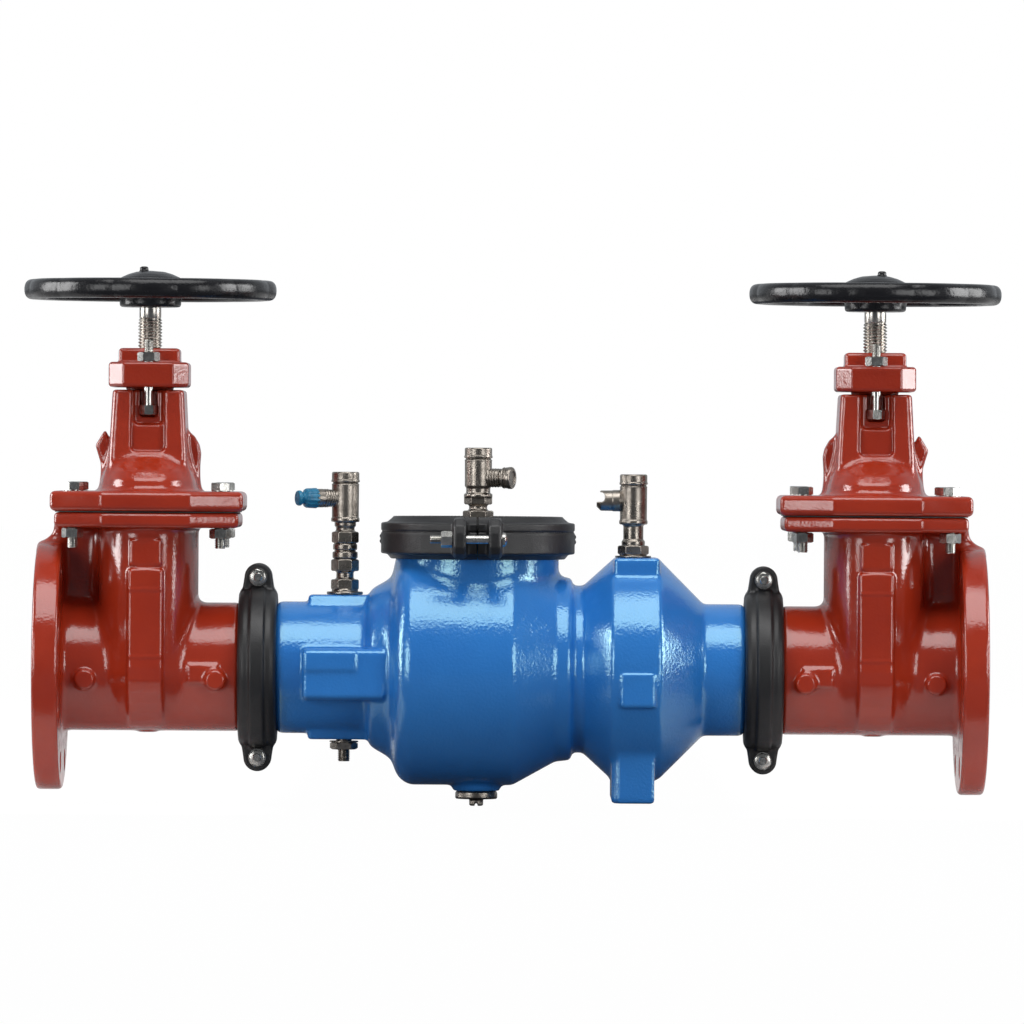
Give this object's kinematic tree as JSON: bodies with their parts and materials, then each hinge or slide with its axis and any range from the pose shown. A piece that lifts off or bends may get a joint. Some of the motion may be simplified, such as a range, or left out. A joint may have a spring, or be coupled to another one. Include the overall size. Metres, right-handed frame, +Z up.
{
  "type": "double check valve assembly",
  "caption": "Backflow preventer with flanged gate valves, grooved couplings and a body of spring-loaded check valves under a clamped cover, with test cocks.",
  "frame": {"origin": "centre of the inlet flange's face, on the pipe axis", "axes": "+X along the pipe in the direction of flow, +Z up along the valve stems, -Y towards the front, the side of the cover clamp's front bolt"},
  "size_m": [0.9058, 0.2338, 0.498],
  "materials": {
    "red_epoxy": "gloss fused epoxy",
    "blue_epoxy": "gloss fused epoxy",
    "black_iron": "satin black paint",
    "black_enamel": "gloss black enamel",
    "nickel_bronze": "dull nickel plate",
    "zinc_steel": "zinc plated",
    "stainless_steel": "turned stainless",
    "black_rubber": "moulded rubber",
    "grey_polymer": "moulded, matte",
    "spring_steel": "spring wire",
    "teal_cap": "moulded, satin"
  },
  "bodies": {
    "root": {"inlet_gate_body": "red_epoxy", "inlet_bonnet": "red_epoxy", "inlet_bonnet_gasket": "black_rubber", "inlet_bush_plate": "red_epoxy", "inlet_stem_seal": "black_rubber", "inlet_bonnet_bolt_1": "zinc_steel", "inlet_bonnet_bolt_2": "zinc_steel", "inlet_bonnet_bolt_3": "zinc_steel", "inlet_bonnet_bolt_4": "zinc_steel", "inlet_plate_bolt_front": "zinc_steel", "inlet_plate_bolt_rear": "zinc_steel", "outlet_gate_body": "red_epoxy", "outlet_bonnet": "red_epoxy", "outlet_bonnet_gasket": "black_rubber", "outlet_bush_plate": "red_epoxy", "outlet_stem_seal": "black_rubber", "outlet_bonnet_bolt_1": "zinc_steel", "outlet_bonnet_bolt_2": "zinc_steel", "outlet_bonnet_bolt_3": "zinc_steel", "outlet_bonnet_bolt_4": "zinc_steel", "outlet_plate_bolt_front": "zinc_steel", "outlet_plate_bolt_rear": "zinc_steel", "check_body": "blue_epoxy", "cover": "black_iron", "cover_gasket": "black_rubber", "clamp_half_left": "black_iron", "clamp_half_right": "black_iron", "clamp_bolt_front": "zinc_steel", "clamp_bolt_rear": "zinc_steel", "check_1_cage": "grey_polymer", "check_1_spring": "spring_steel", "check_2_cage": "grey_polymer", "check_2_spring": "spring_steel", "test_cock_1_body": "nickel_bronze", "test_cock_2_body": "nickel_bronze", "test_cock_3_body": "nickel_bronze", "test_cock_1_cap": "teal_cap", "drain_plug": "nickel_bronze", "pad_plug": "zinc_steel", "inlet_coupling_front": "black_iron", "inlet_coupling_rear": "black_iron", "inlet_coupling_gasket": "black_rubber", "inlet_coupling_bolt_top": "zinc_steel", "inlet_coupling_bolt_bottom": "zinc_steel", "outlet_coupling_front": "black_iron", "outlet_coupling_rear": "black_iron", "outlet_coupling_gasket": "black_rubber", "outlet_coupling_bolt_top": "zinc_steel", "outlet_coupling_bolt_bottom": "zinc_steel"},
    "inlet_wedge": {"inlet_wedge": "black_rubber"},
    "inlet_stem": {"inlet_stem": "stainless_steel", "inlet_handwheel": "black_enamel"},
    "outlet_wedge": {"outlet_wedge": "black_rubber"},
    "outlet_stem": {"outlet_stem": "stainless_steel", "outlet_handwheel": "black_enamel"},
    "check_1_poppet": {"check_1_poppet": "grey_polymer"},
    "check_2_poppet": {"check_2_poppet": "grey_polymer"},
    "test_cock_1_plug": {"test_cock_1_plug": "stainless_steel"},
    "test_cock_2_plug": {"test_cock_2_plug": "stainless_steel"},
    "test_cock_3_plug": {"test_cock_3_plug": "stainless_steel"}
  },
  "joints": [
    {"name": "inlet_wedge_lift", "type": "slide", "parent": "root", "child": "inlet_wedge", "axis": [0, 0, 1], "range_m": [0, 0.104]},
    {"name": "inlet_handwheel_turn", "type": "hinge", "parent": "inlet_wedge", "child": "inlet_stem", "pos_m": [0.1025, 0, 0.333], "axis": [0, 0, 1], "range_deg": [0, 6240]},
    {"name": "outlet_wedge_lift", "type": "slide", "parent": "root", "child": "outlet_wedge", "axis": [0, 0, 1], "range_m": [0, 0.104]},
    {"name": "outlet_handwheel_turn", "type": "hinge", "parent": "outlet_wedge", "child": "outlet_stem", "pos_m": [0.7745, 0, 0.333], "axis": [0, 0, 1], "range_deg": [0, 6240]},
    {"name": "check_1_open", "type": "slide", "parent": "root", "child": "check_1_poppet", "axis": [1, 0, 0], "range_m": [0, 0.028], "stiffness_N_per_m": 2000, "springref_m": -0.028, "deforming": ["check_1_spring"]},
    {"name": "check_2_open", "type": "slide", "parent": "root", "child": "check_2_poppet", "axis": [1, 0, 0], "range_m": [0, 0.028], "stiffness_N_per_m": 2000, "springref_m": -0.028, "deforming": ["check_2_spring"]},
    {"name": "test_cock_1_turn", "type": "hinge", "parent": "root", "child": "test_cock_1_plug", "pos_m": [0.2845, 0, 0.16], "axis": [0, 0, 1], "range_deg": [0, 90]},
    {"name": "test_cock_2_turn", "type": "hinge", "parent": "root", "child": "test_cock_2_plug", "pos_m": [0.4075, 0, 0.16], "axis": [0, 0, 1], "range_deg": [0, 90]},
    {"name": "test_cock_3_turn", "type": "hinge", "parent": "root", "child": "test_cock_3_plug", "pos_m": [0.5515, 0, 0.16], "axis": [0, 0, 1], "range_deg": [0, 90]}
  ],
  "couplings": [
    {"joint": "inlet_wedge_lift", "follows": "inlet_handwheel_turn", "m_per_rad": 0.00095493},
    {"joint": "outlet_wedge_lift", "follows": "outlet_handwheel_turn", "m_per_rad": 0.00095493}
  ]
}
